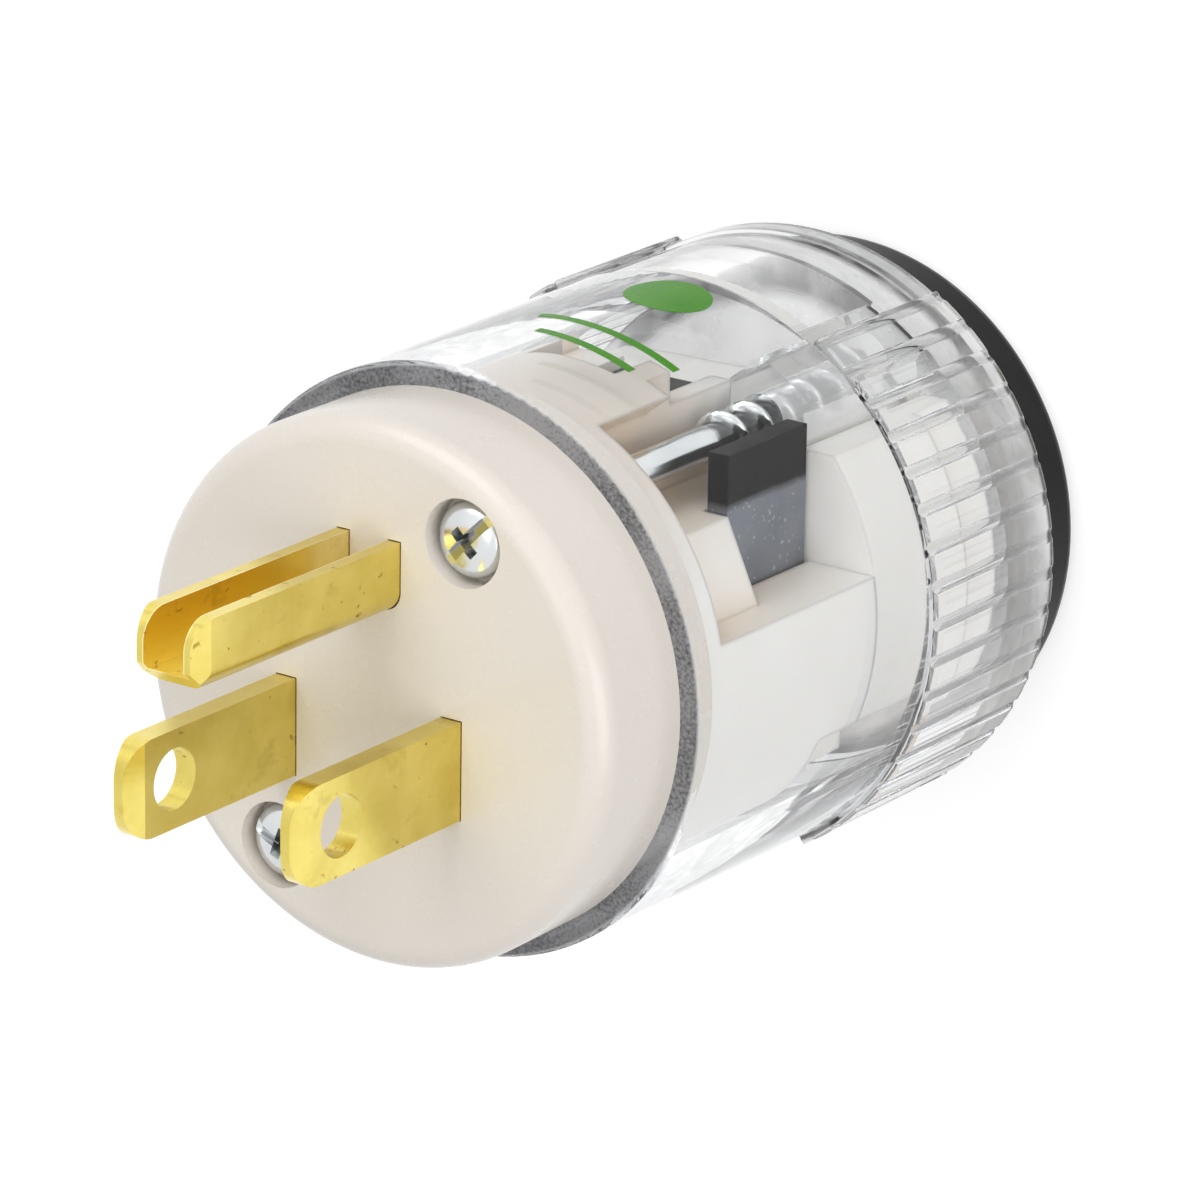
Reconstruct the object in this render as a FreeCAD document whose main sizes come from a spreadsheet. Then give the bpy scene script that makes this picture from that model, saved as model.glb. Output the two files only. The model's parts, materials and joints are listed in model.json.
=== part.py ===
# Grounded straight-blade cord plug with a clear housing, built in millimetres.
# Frame: the plug stands on its rear cap, +Z runs along the plug axis to the blade tips,
# +Y is the side of the ground pin, +X is the side of the hot blade, z = 0 is the rear face.
import FreeCAD
import Part
import Sketcher
import math
import os

doc = FreeCAD.newDocument("plug")
sheet = doc.addObject("Spreadsheet::Sheet", "Sizes")

# Driving sizes: name, value in millimetres or degrees or count, meaning.
SIZE_ROWS = [
    ("face_plane", 53.0, "height of the front face above the rear face"),
    ("face_overhang", 0.64, "front face radius beyond the mouth of the housing"),
    ("face_round", 1.6, "rounding of the front face edge"),
    ("face_floor", 3.5, "thickness of the front face"),
    ("skirt_seat", 0.6, "skirt radius beyond the mouth of the housing, where it sits on it"),
    ("skirt_wall", 2.08, "wall of the skirt inside the housing"),
    ("spigot_gap", 0.12, "clearance of the skirt in the mouth of the housing"),
    ("spigot_depth", 4.0, "length of the skirt inside the housing"),
    ("housing_front", 45.0, "height of the front end of the housing"),
    ("housing_front_radius", 19.1, "outer radius at the front end"),
    ("housing_wall", 2.1, "wall of the housing at its mouth"),
    ("housing_edge", 0.45, "rounding of the front end"),
    ("cavity_draft", 0.2, "narrowing of the cavity towards its end"),
    ("cavity_end", 10.0, "height of the end of the cavity"),
    ("housing_rear", 6.3, "height of the rear end of the housing"),
    ("tube_draft", 0.23, "widening of the tube towards the grip"),
    ("gland_radius", 10.0, "hole in the end wall"),
    ("grip_front", 20.3, "height of the front end of the grip"),
    ("grip_rise", 0.8, "grip radius beyond the front end of the housing"),
    ("grip_front_round", 0.3, "rounding of the front edge of the grip"),
    ("grip_rear_round", 0.5, "rounding of the rear edge of the grip"),
    ("groove_radius", 0.5, "radius of one groove of the grip"),
    ("groove_lift", 0.2, "groove centre beyond the grip surface"),
    ("groove_count", 17, "grooves on one side of the grip"),
    ("groove_arc", 115.2, "angle from first to last groove of one side"),
    ("groove_start", 302.4, "angle of the first groove of the right side"),
    ("groove_start_left", 122.4, "angle of the first groove of the left side"),
    ("panel_rise", 0.08, "smooth panel radius beyond the front end of the housing"),
    ("panel_angle", 62.0, "width of the smooth panel as an angle"),
    ("panel_rear", 8.3, "height of the rear end of the smooth panel"),
    ("lip_rise", 0.32, "lip behind the smooth panel beyond the front end of the housing"),
    ("screw_angle", 58.0, "direction of the assembly screws from the X axis"),
    ("screw_inset", 3.07, "assembly screw axis inside the rim of the terminal body"),
    ("screw_head_radius", 2.45, "assembly screw head"),
    ("screw_head_tall", 1.8, "assembly screw head"),
    ("screw_sink", 1.9, "depth of the head recess in the face"),
    ("screw_recess_gap", 0.35, "room round the screw head in its recess"),
    ("screw_shank_radius", 1.1, "plain shank of the assembly screw"),
    ("screw_thread_radius", 1.65, "thread of the assembly screw"),
    ("screw_thread_top", 28.2, "height where the thread starts"),
    ("screw_thread_fade", 0.5, "length over which the thread runs out"),
    ("screw_tip", 13.4, "height of the screw tip"),
    ("screw_point", 1.6, "length of the screw point"),
    ("screw_hole_gap", 0.25, "clearance of the screw in face and terminal body"),
    ("screw_gap", 0.05, "clearance of the thread in its boss"),
    ("boss_radius", 3.3, "boss for the assembly screw"),
    ("boss_front", 22.0, "height of the front of the boss"),
    ("boss_hole_extra", 1.0, "depth of the boss hole beyond the screw tip"),
    ("web_half", 2.2, "half width of the web between boss and wall"),
    ("blade_x", 6.35, "half of the blade spacing"),
    ("blade_y", -3.2, "blade centre line"),
    ("blade_thick", 1.52, "blade thickness"),
    ("blade_wide", 6.35, "blade width"),
    ("blade_out", 16.1, "blade length outside the face"),
    ("blade_hole_radius", 1.98, "hole near the blade tip"),
    ("blade_hole_out", 11.7, "hole distance from the face"),
    ("blade_corner", 2.4, "rounding of the blade tip corners"),
    ("blade_coin", 1.6, "length of the coined bevel at the tip"),
    ("blade_coin_depth", 0.42, "depth of the coined bevel at the tip"),
    ("foot_plane", 31.2, "height of the rear side of the terminal feet"),
    ("foot_thick", 1.5, "thickness of the terminal feet"),
    ("foot_reach", 2.7, "hot foot beyond its terminal screw"),
    ("ground_rise", 9.15, "lower side of the ground pin above the blade line"),
    ("ground_half", 2.4, "half width of the ground pin"),
    ("ground_tall", 4.45, "height of the ground pin section"),
    ("ground_wall", 0.9, "sheet thickness of the ground pin"),
    ("ground_out", 19.5, "ground pin length outside the face"),
    ("ground_fold", 1.3, "fold rounding of the ground pin"),
    ("ground_nose", 2.0, "rounding of the ground pin tip"),
    ("ground_nose_cut", 1.3, "bevel under the ground pin tip"),
    ("ground_coin", 1.5, "length of the coined bevel at the ground pin tip"),
    ("ground_coin_depth", 0.4, "depth of the coined bevel at the ground pin tip"),
    ("ground_foot_half", 3.2, "half width of the ground foot"),
    ("ground_foot_low", -0.5, "lower end of the ground foot"),
    ("slot_gap", 0.05, "clearance of blades in their slots"),
    ("pocket_gap", 0.2, "clearance of feet and clamps in their pockets"),
    ("body_gap", 0.4, "room between the cavity and the terminal body"),
    ("neck_gap", 0.1, "clearance of the terminal body in the hollow of the face"),
    ("body_rear", 22.3, "height of the joint of terminal body and wire guide"),
    ("window_front", 39.0, "front end of the windows in the terminal body"),
    ("window_ledge", 3.0, "ledge below the windows"),
    ("ramp_run", 2.4, "run of the sloped wall in front of the hot clamp flange"),
    ("crown_front", 29.0, "front end of the opening above the ground clamp"),
    ("crown_sill", 2.3, "lower side of that opening above the screw axis"),
    ("channel_room", 2.1, "room between the screw axis and the wall beside it"),
    ("channel_drop", 3.1, "room between the screw axis and the floor below it"),
    ("notch_top", 26.5, "front end of the lower notch"),
    ("notch_x", 6.0, "side of the lower notch"),
    ("notch_y", -6.8, "roof of the lower notch"),
    ("clamp_thick", 1.5, "thickness of the terminal clamps"),
    ("clamp_inner_x", 5.2, "inner end of the hot clamp"),
    ("clamp_low_y", -6.2, "lower end of the hot clamp"),
    ("clamp_high_y", 1.2, "upper end of the hot clamp plate"),
    ("flange_clear", 0.8, "room between the assembly screw and the hot clamp flange"),
    ("flange_low_y", 0.0, "lower end of the hot clamp flange"),
    ("flange_top_rise", 0.7, "upper end of the hot clamp flange above the screw axis"),
    ("flange_rear_gap", 0.3, "room between the clamp flanges and the wire guide"),
    ("ground_flange_inset", 3.4, "ground clamp flange inside the rim of the terminal body"),
    ("terminal_step", 2.95, "hot terminal screw beside its blade"),
    ("terminal_ground_y", 2.4, "ground terminal screw position"),
    ("terminal_head_radius", 2.4, "terminal screw head"),
    ("terminal_head_tall", 1.8, "terminal screw head"),
    ("terminal_radius", 1.6, "terminal screw thread"),
    ("terminal_gap", 0.1, "clearance of the terminal screw in its holes"),
    ("terminal_rise", 4.8, "terminal screw end above the foot plane"),
    ("slot_wide", 0.9, "width of the screwdriver slots"),
    ("slot_deep", 0.8, "depth of the screwdriver slots"),
    ("guide_step", 14.0, "height of the step of the wire guide"),
    ("guide_step_depth", 0.5, "depth of the step of the wire guide"),
    ("guide_gap", 1.2, "room between the lower boss and the wire guide"),
    ("guide_top_drop", 1.1, "flat on top of the wire guide below the screw axis"),
    ("boss_gap", 0.3, "room round the upper boss in the wire guide"),
    ("wire_hole_radius", 3.0, "conductor holes of the wire guide"),
    ("wire_rim", 3.6, "wall between the conductor holes and the step of the wire guide"),
    ("wire_floor", 1.0, "wall between the conductor holes and the lower flat of the wire guide"),
    ("wire_ground_y", 4.6, "ground conductor hole"),
    ("well_end", 16.0, "front end of the well for the cord clamp"),
    ("cap_inset", 2.3, "lip of the rear cap inside the grip radius"),
    ("cap_round", 1.2, "rounding of the rear cap lip"),
    ("cap_lip", 3.4, "length of the rear cap lip"),
    ("cap_step", 0.6, "depth of the neck behind the lip"),
    ("cap_seat", 0.6, "width of the ring of the cap that meets the end wall"),
    ("cap_relief", 0.3, "room between cap and end wall outside that ring"),
    ("collar_gap", 0.05, "clearance of the collar of the wire guide in the end wall"),
    ("collar_short", 0.1, "room between that collar and the rear cap"),
    ("cap_bore_radius", 7.0, "cord hole of the rear cap"),
    ("cap_floor", 2.0, "thickness of the rear cap floor"),
    ("collar_wall", 1.25, "wall of that collar"),
    ("seal_gap", 0.05, "clearance of the cord seal in its seat"),
    ("seal_bore_radius", 4.6, "cord hole of the cord seal"),
    ("washer_thick", 1.5, "thickness of the seal washer"),
    ("washer_wide", 1.65, "width of the ring of the seal washer"),
    ("jaw_gap", 0.05, "clearance of the cord clamp in the well"),
    ("jaw_long", 5.0, "length of the cord clamp"),
    ("jaw_split", 0.4, "half of the gap between the clamp jaws"),
    ("jaw_bore_radius", 4.2, "cord hole of the clamp jaws"),
    ("jaw_wall", 0.75, "wall between the cord hole of the jaws and the clamp screw"),
    ("jaw_rim", 0.45, "wall between the clamp screw head and the well"),
    ("jaw_screw_radius", 1.15, "clamp screw"),
    ("jaw_screw_long", 4.6, "clamp screw below its head"),
    ("jaw_seat", 2.0, "seat of the clamp screw head above the cord axis"),
    ("jaw_head_radius", 1.6, "clamp screw head"),
    ("jaw_head_tall", 0.8, "clamp screw head"),
    ("jaw_head_gap", 0.15, "room round the clamp screw head"),
    ("jaw_screw_gap", 0.1, "clearance of the clamp screws"),
]
SIZES = {}
row = 1
for alias, value, note in SIZE_ROWS:
    sheet.set("A%d" % row, alias)
    sheet.set("B%d" % row, str(value))
    sheet.set("C%d" % row, note)
    sheet.setAlias("B%d" % row, alias)
    SIZES[alias] = float(value)
    row += 1
doc.recompute()


def factor_value(word):
    """Value of one factor: a size, a plain number, or the cosine or sine of an angle."""
    if word.startswith("cos:"):
        return math.cos(math.radians(SIZES[word[4:]]))
    if word.startswith("sin:"):
        return math.sin(math.radians(SIZES[word[4:]]))
    return SIZES[word] if word in SIZES else float(word)


def factor_text(word):
    """The same factor written for an expression that reads the sheet."""
    if word.startswith("cos:") or word.startswith("sin:"):
        return "%s(Sizes.%s)" % (word[:3], word[4:])
    return "Sizes." + word if word in SIZES else word


def number(text):
    """Value of a sum of sizes such as 'face_plane - 2*face_round'."""
    total = 0.0
    sign = 1.0
    for word in text.split():
        if word == "+":
            sign = 1.0
        elif word == "-":
            sign = -1.0
        else:
            product = 1.0
            for factor in word.split("*"):
                product *= factor_value(factor)
            total += sign * product
            sign = 1.0
    return total


def formula(text):
    """The same sum written for an expression that reads the sheet."""
    words = []
    for word in text.split():
        if word in ("+", "-"):
            words.append(word)
        else:
            words.append("*".join(factor_text(factor) for factor in word.split("*")))
    return " ".join(words)


def minus(text):
    """The same sum with every sign turned round."""
    words = ["0", "-"]
    for word in text.split():
        if word == "+":
            words.append("-")
        elif word == "-":
            words.append("+")
        else:
            words.append(word)
    return " ".join(words)


def times(factor, text):
    """The same sum with every term multiplied by one more factor."""
    words = []
    for word in text.split():
        words.append(word if word in ("+", "-") else factor + "*" + word)
    return " ".join(words)


def bind(obj, prop, text):
    obj.setExpression(prop, formula(text))


def new_body(label):
    body = doc.addObject("PartDesign::Body", label)
    body.Label = label
    return body


def origin_item(body, role):
    for item in body.Origin.OriginFeatures:
        if item.Role == role:
            return item
    raise RuntimeError("no origin item " + role)


def new_sketch(body, role, name, lift="0", side="0", turn=None):
    """Sketch on an origin plane of its own body, lifted along the plane normal."""
    sketch = body.newObject("Sketcher::SketchObject", name)
    sketch.AttachmentSupport = [(origin_item(body, role), "")]
    sketch.MapMode = "FlatFace"
    offset = FreeCAD.Placement()
    offset.Base = FreeCAD.Vector(number(side), 0, number(lift))
    if turn:
        offset.Rotation = FreeCAD.Rotation(FreeCAD.Vector(0, 0, 1), number(turn))
    sketch.AttachmentOffset = offset
    if lift != "0":
        bind(sketch, "AttachmentOffset.Base.z", lift)
    if side != "0":
        bind(sketch, "AttachmentOffset.Base.x", side)
    if turn:
        bind(sketch, "AttachmentOffset.Rotation.Angle", turn)
    return sketch


def pin_point(sketch, geo, pos, x_text, y_text):
    """Fixes one sketch point by sizes measured from the sketch origin."""
    if x_text == "0":
        sketch.addConstraint(Sketcher.Constraint("PointOnObject", geo, pos, -2))
    else:
        i = sketch.addConstraint(Sketcher.Constraint("DistanceX", -1, 1, geo, pos, number(x_text)))
        bind(sketch, "Constraints[%d]" % i, x_text)
    if y_text == "0":
        sketch.addConstraint(Sketcher.Constraint("PointOnObject", geo, pos, -1))
    else:
        i = sketch.addConstraint(Sketcher.Constraint("DistanceY", -1, 1, geo, pos, number(y_text)))
        bind(sketch, "Constraints[%d]" % i, y_text)


def add_loop(sketch, points):
    """Closed outline of straight lines through points given as pairs of sums of sizes."""
    start = sketch.GeometryCount
    places = [FreeCAD.Vector(number(x), number(y), 0) for x, y in points]
    count = len(places)
    for i in range(count):
        sketch.addGeometry(Part.LineSegment(places[i], places[(i + 1) % count]), False)
    for i in range(count):
        following = start + (i + 1) % count
        sketch.addConstraint(Sketcher.Constraint("Coincident", start + i, 2, following, 1))
    for i in range(count):
        pin_point(sketch, start + i, 1, points[i][0], points[i][1])


def add_box(sketch, x0, x1, y0, y1):
    add_loop(sketch, [(x0, y0), (x1, y0), (x1, y1), (x0, y1)])


def add_circle(sketch, x_text, y_text, radius):
    centre = FreeCAD.Vector(number(x_text), number(y_text), 0)
    geo = sketch.addGeometry(Part.Circle(centre, FreeCAD.Vector(0, 0, 1), number(radius)), False)
    i = sketch.addConstraint(Sketcher.Constraint("Radius", geo, number(radius)))
    bind(sketch, "Constraints[%d]" % i, radius)
    pin_point(sketch, geo, 3, x_text, y_text)


def pad(body, sketch, length, name):
    feature = body.newObject("PartDesign::Pad", name)
    feature.Profile = sketch
    bind(feature, "Length", length)
    sketch.Visibility = False
    return feature


def pocket(body, sketch, length, name, upward=True):
    """Cut along the sketch normal, or against it when upward is False."""
    before = body.Shape.Volume
    feature = body.newObject("PartDesign::Pocket", name)
    feature.Profile = sketch
    bind(feature, "Length", length)
    feature.Reversed = upward
    sketch.Visibility = False
    doc.recompute()
    if not body.Shape.Volume < before - 1e-6:
        raise RuntimeError("pocket removed nothing: " + name)
    return feature


def revolve(body, points, name, at_x="0", at_y="0"):
    """Solid of revolution about a line along Z through at_x, at_y; points are radius, height."""
    lift = "0" if at_y == "0" else minus(at_y)
    sketch = new_sketch(body, "XZ_Plane", name + "_profile", lift, at_x)
    add_loop(sketch, points)
    feature = body.newObject("PartDesign::Revolution", name)
    feature.Profile = sketch
    feature.ReferenceAxis = (sketch, ["V_Axis"])
    feature.Angle = 360.0
    sketch.Visibility = False
    doc.recompute()
    return feature


def edges_where(feature, test):
    names = []
    for i, edge in enumerate(feature.Shape.Edges):
        if test(edge):
            names.append("Edge%d" % (i + 1))
    if not names:
        raise RuntimeError("no edge found on " + feature.Name)
    return names


def near(a, b):
    return abs(a - b) < 1e-4


def ring_edge(radius, height):
    """Test for a full circle about the plug axis."""
    def test(edge):
        curve = edge.Curve
        if not isinstance(curve, Part.Circle):
            return False
        centred = abs(curve.Center.x) < 1e-4 and abs(curve.Center.y) < 1e-4
        return centred and near(curve.Radius, number(radius)) and near(curve.Center.z, number(height))
    return test


def round_edges(body, feature, test, radius, name):
    made = body.newObject("PartDesign::Fillet", name)
    made.Base = (feature, edges_where(feature, test))
    bind(made, "Radius", radius)
    doc.recompute()
    return made


# Radii and places that follow from the driving sizes.
MOUTH = "housing_front_radius - housing_wall"
CAVITY = MOUTH + " - cavity_draft"
BODY = CAVITY + " - body_gap"
SPIGOT = MOUTH + " - spigot_gap"
HOLLOW = SPIGOT + " - skirt_wall"
NECK = HOLLOW + " - neck_gap"
FACE = MOUTH + " + face_overhang"
GRIP = "housing_front_radius + grip_rise"
BEYOND = BODY + " + body_gap"
SCREW_FAR = BODY + " - screw_inset"
ALONG_X = "cos:screw_angle"
ALONG_Y = "sin:screw_angle"
SCREW_X = times(ALONG_X, SCREW_FAR)
SCREW_Y = times(ALONG_Y, SCREW_FAR)
SCREW_HOLE = "screw_thread_radius + screw_hole_gap"
GROUND_LOW = "blade_y + ground_rise"
GROUND_HIGH = GROUND_LOW + " + ground_tall"
TERMINAL_X = "blade_x + terminal_step"
FOOT_END = TERMINAL_X + " + foot_reach"
FLANGE_IN = SCREW_X + " + screw_thread_radius + flange_clear"
FLANGE_OUT = FLANGE_IN + " + clamp_thick"
FLANGE_HIGH = SCREW_Y + " + flange_top_rise"
FLANGE_REAR = "body_rear + flange_rear_gap"
GROUND_FLANGE = BODY + " - ground_flange_inset"
FACE_BACK = "face_plane - face_floor"
SPIGOT_END = "housing_front - spigot_depth"
COLLAR = "gland_radius - collar_gap"
COLLAR_END = "housing_rear + collar_short"
SEAT = COLLAR + " - collar_wall"
SEAL = SEAT + " - seal_gap"
JAW_SCREW_X = "jaw_bore_radius + jaw_wall + jaw_screw_radius + jaw_screw_gap"
WELL = JAW_SCREW_X + " + jaw_head_radius + jaw_head_gap + jaw_rim"
GUIDE_RIM = BODY + " - guide_step_depth"
GUIDE_LOW = minus(SCREW_Y + " - boss_radius - guide_gap")
WIRE_X = GUIDE_RIM + " - wire_rim - wire_hole_radius"
WIRE_Y = GUIDE_LOW + " + wire_floor + wire_hole_radius"
SEAL_END = "cavity_end - washer_thick"
WASHER_BORE = SEAL + " - washer_wide"


def band(start, end, half):
    """Corners of a strip of the given half width that runs outwards along the direction of the screws."""
    across_x = times(ALONG_Y, half)
    across_y = times(ALONG_X, half)
    left = (" - ", " + ")
    right = (" + ", " - ")
    corners = []
    for far, (x_sign, y_sign) in ((start, left), (start, right), (end, right), (end, left)):
        corners.append((times(ALONG_X, far) + x_sign + across_x, times(ALONG_Y, far) + y_sign + across_y))
    return corners


# Front face: ivory cup that carries the blades and closes the housing.
face = new_body("front_face")
face_disc = revolve(face, [
    ("0", FACE_BACK),
    (HOLLOW, FACE_BACK),
    (HOLLOW, SPIGOT_END),
    (SPIGOT, SPIGOT_END),
    (SPIGOT, "housing_front"),
    (MOUTH + " + skirt_seat", "housing_front"),
    (FACE, "face_plane - face_round"),
    (FACE, "face_plane"),
    ("0", "face_plane"),
], "face_disc")
face_edge = round_edges(face, face_disc, ring_edge(FACE, "face_plane"), "face_round", "face_edge")
face_cuts = new_sketch(face, "XY_Plane", "face_slots", "face_plane")
BLADE_SIDES = ("blade_x - 0.5*blade_thick - slot_gap", "blade_x + 0.5*blade_thick + slot_gap")
BLADE_ENDS = ("blade_y - 0.5*blade_wide - slot_gap", "blade_y + 0.5*blade_wide + slot_gap")


def trough_outline(gap):
    """Section of the ground pin, a trough that is open upwards, widened by a gap on all sides."""
    outside = "ground_half + " + gap
    inside = "ground_half - ground_wall - " + gap
    low = GROUND_LOW + " - " + gap
    high = GROUND_HIGH + " + " + gap
    floor = GROUND_LOW + " + ground_wall + " + gap
    right = [(outside, low), (outside, high), (inside, high), (inside, floor)]
    return right + [(minus(x), y) for x, y in reversed(right)]


def add_blade_slots(sketch):
    """Slots for both blades and for the ground pin."""
    add_box(sketch, BLADE_SIDES[0], BLADE_SIDES[1], BLADE_ENDS[0], BLADE_ENDS[1])
    add_box(sketch, minus(BLADE_SIDES[1]), minus(BLADE_SIDES[0]), BLADE_ENDS[0], BLADE_ENDS[1])
    add_loop(sketch, trough_outline("slot_gap"))


def add_screw_circles(sketch, radius):
    add_circle(sketch, SCREW_X, SCREW_Y, radius)
    add_circle(sketch, minus(SCREW_X), minus(SCREW_Y), radius)


add_blade_slots(face_cuts)
add_screw_circles(face_cuts, SCREW_HOLE)
face_slot_cut = pocket(face, face_cuts, "2*face_floor", "face_slot_cut", False)


def slot_fold_edge(edge):
    box = edge.BoundBox
    at_side = near(abs(box.XMin), number("ground_half + slot_gap")) and near(box.XLength, 0)
    return at_side and near(box.YMax, number(GROUND_LOW + " - slot_gap")) and near(box.YLength, 0)


round_edges(face, face_slot_cut, slot_fold_edge, "ground_fold", "face_slot_round")
face_sinks = new_sketch(face, "XY_Plane", "face_recesses", "face_plane")
add_screw_circles(face_sinks, "screw_head_radius + screw_recess_gap")
pocket(face, face_sinks, "screw_sink", "face_recess_cut", False)

# Clear housing: tube, end wall, two screw bosses, grooved grip with a smooth panel above and below.
housing = new_body("clear_housing")
tube = revolve(housing, [
    ("gland_radius", "housing_rear"),
    (GRIP, "housing_rear"),
    (GRIP, "grip_front"),
    ("housing_front_radius + tube_draft", "grip_front"),
    ("housing_front_radius", "housing_front"),
    (MOUTH, "housing_front"),
    (CAVITY, "cavity_end"),
    ("gland_radius", "cavity_end"),
], "tube")
tube_edge = round_edges(housing, tube, ring_edge("housing_front_radius", "housing_front"),
                        "housing_edge", "tube_edge")
grip_edge = round_edges(housing, tube_edge, ring_edge(GRIP, "grip_front"),
                        "grip_front_round", "grip_front_edge")
round_edges(housing, grip_edge, ring_edge(GRIP, "housing_rear"), "grip_rear_round", "grip_rear_edge")
panel_sketch = new_sketch(housing, "YZ_Plane", "panel_profile")
add_loop(panel_sketch, [
    ("housing_front_radius + panel_rise", "panel_rear"),
    ("housing_front_radius + lip_rise", "panel_rear"),
    ("housing_front_radius + lip_rise", "housing_rear"),
    ("housing_front_radius + 2*grip_rise", "housing_rear"),
    ("housing_front_radius + 2*grip_rise", "grip_front"),
    ("housing_front_radius + panel_rise", "grip_front"),
])
before_panel = housing.Shape.Volume
panel = housing.newObject("PartDesign::Groove", "panel")
panel.Profile = panel_sketch
panel.ReferenceAxis = (panel_sketch, ["V_Axis"])
bind(panel, "Angle", "panel_angle")
panel.Midplane = True
panel_sketch.Visibility = False
doc.recompute()
if not housing.Shape.Volume < before_panel - 1e-6:
    raise RuntimeError("panel removed nothing")
panels = housing.newObject("PartDesign::PolarPattern", "panels")
panels.Originals = [panel]
panels.Axis = (origin_item(housing, "Z_Axis"), [""])
panels.Angle = 360.0
panels.Occurrences = 2
housing.Tip = panels
doc.recompute()
for side, start in (("right", "groove_start"), ("left", "groove_start_left")):
    groove_sketch = new_sketch(housing, "XY_Plane", "groove_%s_profile" % side, "grip_front", "0", start)
    add_circle(groove_sketch, GRIP + " + groove_lift", "0", "groove_radius")
    groove = pocket(housing, groove_sketch, "grip_front - housing_rear", "groove_%s" % side, False)
    grooves = housing.newObject("PartDesign::PolarPattern", "grooves_%s" % side)
    grooves.Originals = [groove]
    grooves.Axis = (origin_item(housing, "Z_Axis"), [""])
    bind(grooves, "Angle", "groove_arc")
    bind(grooves, "Occurrences", "groove_count")
    housing.Tip = grooves
    doc.recompute()
boss_sketch = new_sketch(housing, "XY_Plane", "boss_profile", "cavity_end")
add_screw_circles(boss_sketch, "boss_radius")
pad(housing, boss_sketch, "boss_front - cavity_end", "bosses")
doc.recompute()
web_sketch = new_sketch(housing, "XY_Plane", "web_profile", "cavity_end")
web = band(SCREW_FAR, CAVITY + " + 0.5*housing_wall", "web_half")
add_loop(web_sketch, web)
add_loop(web_sketch, [(minus(x), minus(y)) for x, y in web])
pad(housing, web_sketch, "boss_front - cavity_end", "webs")
doc.recompute()
boss_holes = new_sketch(housing, "XY_Plane", "boss_holes", "boss_front")
add_screw_circles(boss_holes, "screw_thread_radius + screw_gap")
pocket(housing, boss_holes, "boss_front - screw_tip + boss_hole_extra", "boss_hole_cut", False)

# Terminal body: white block that holds blades, clamps and screws behind the face.
block = new_body("terminal_body")
block_core = revolve(block, [
    ("0", "body_rear"),
    (BODY, "body_rear"),
    (BODY, SPIGOT_END),
    (NECK, SPIGOT_END),
    (NECK, FACE_BACK),
    ("0", FACE_BACK),
], "block_core")
FOOT_TOP = "foot_plane + foot_thick"
slots = new_sketch(block, "XY_Plane", "block_slots", FACE_BACK)
add_blade_slots(slots)
pocket(block, slots, FACE_BACK + " - body_rear", "block_slot_cut", False)
pockets = new_sketch(block, "XY_Plane", "block_pockets", "body_rear")
POCKET_SIDES = ("clamp_inner_x - pocket_gap", FOOT_END + " + pocket_gap")
POCKET_ENDS = ("blade_y - 0.5*blade_wide - pocket_gap", "clamp_high_y + pocket_gap")
add_box(pockets, POCKET_SIDES[0], POCKET_SIDES[1], POCKET_ENDS[0], POCKET_ENDS[1])
add_box(pockets, minus(POCKET_SIDES[1]), minus(POCKET_SIDES[0]), POCKET_ENDS[0], POCKET_ENDS[1])
add_box(pockets, minus("ground_foot_half + pocket_gap"), "ground_foot_half + pocket_gap",
        "ground_foot_low - pocket_gap", BEYOND)
pocket(block, pockets, FOOT_TOP + " - body_rear", "block_pocket_cut")
flange_slots = new_sketch(block, "XY_Plane", "block_flange_slots", "body_rear")
SLOT_SIDES = (FLANGE_IN + " - pocket_gap", FLANGE_OUT + " + pocket_gap")
add_box(flange_slots, SLOT_SIDES[0], SLOT_SIDES[1], "clamp_high_y", "window_ledge + pocket_gap")
add_box(flange_slots, minus(SLOT_SIDES[1]), minus(SLOT_SIDES[0]), "clamp_high_y", "window_ledge + pocket_gap")
pocket(block, flange_slots, FOOT_TOP + " - body_rear", "block_flange_cut")
windows = new_sketch(block, "XY_Plane", "block_windows", "body_rear")
CHANNEL_SIDE = SCREW_X + " - channel_room"
CHANNEL_FLOOR = SCREW_Y + " - channel_drop"
CROWN_LOW = SCREW_Y + " + crown_sill"
add_loop(windows, [
    (CHANNEL_SIDE, CHANNEL_FLOOR),
    (SLOT_SIDES[1], CHANNEL_FLOOR),
    (SLOT_SIDES[1] + " + ramp_run", "window_ledge"),
    (BEYOND, "window_ledge"),
    (BEYOND, BEYOND),
    (SCREW_X + " + channel_room", BEYOND),
    (CHANNEL_SIDE, CROWN_LOW),
])
add_box(windows, minus(BEYOND), minus(SLOT_SIDES[0]), "window_ledge", BEYOND)
pocket(block, windows, "window_front - body_rear", "block_window_cut")
flange_room = new_sketch(block, "XY_Plane", "block_flange_room", "body_rear")
add_loop(flange_room, [
    (CHANNEL_SIDE, CHANNEL_FLOOR),
    (SLOT_SIDES[0], CHANNEL_FLOOR),
    (SLOT_SIDES[0], "window_ledge"),
    (BEYOND, "window_ledge"),
    (BEYOND, BEYOND),
    (CHANNEL_SIDE, BEYOND),
])
pocket(block, flange_room, "foot_plane + pocket_gap - body_rear", "block_flange_room_cut")
crown = new_sketch(block, "XY_Plane", "block_crown", "body_rear")
add_box(crown, minus(SCREW_X), SCREW_X, CROWN_LOW, BEYOND)
pocket(block, crown, "crown_front - body_rear", "block_crown_cut")
notch = new_sketch(block, "XY_Plane", "block_notch", "body_rear")
add_box(notch, "notch_x", BEYOND, minus(BEYOND), "notch_y")
pocket(block, notch, "notch_top - body_rear", "block_notch_cut")
bores = new_sketch(block, "XY_Plane", "block_bores", FACE_BACK)
add_screw_circles(bores, SCREW_HOLE)
pocket(block, bores, FACE_BACK + " - body_rear", "block_bore_cut", False)
taps = new_sketch(block, "XY_Plane", "block_taps", FOOT_TOP)
add_circle(taps, TERMINAL_X, "blade_y", "terminal_radius + terminal_gap")
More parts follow.
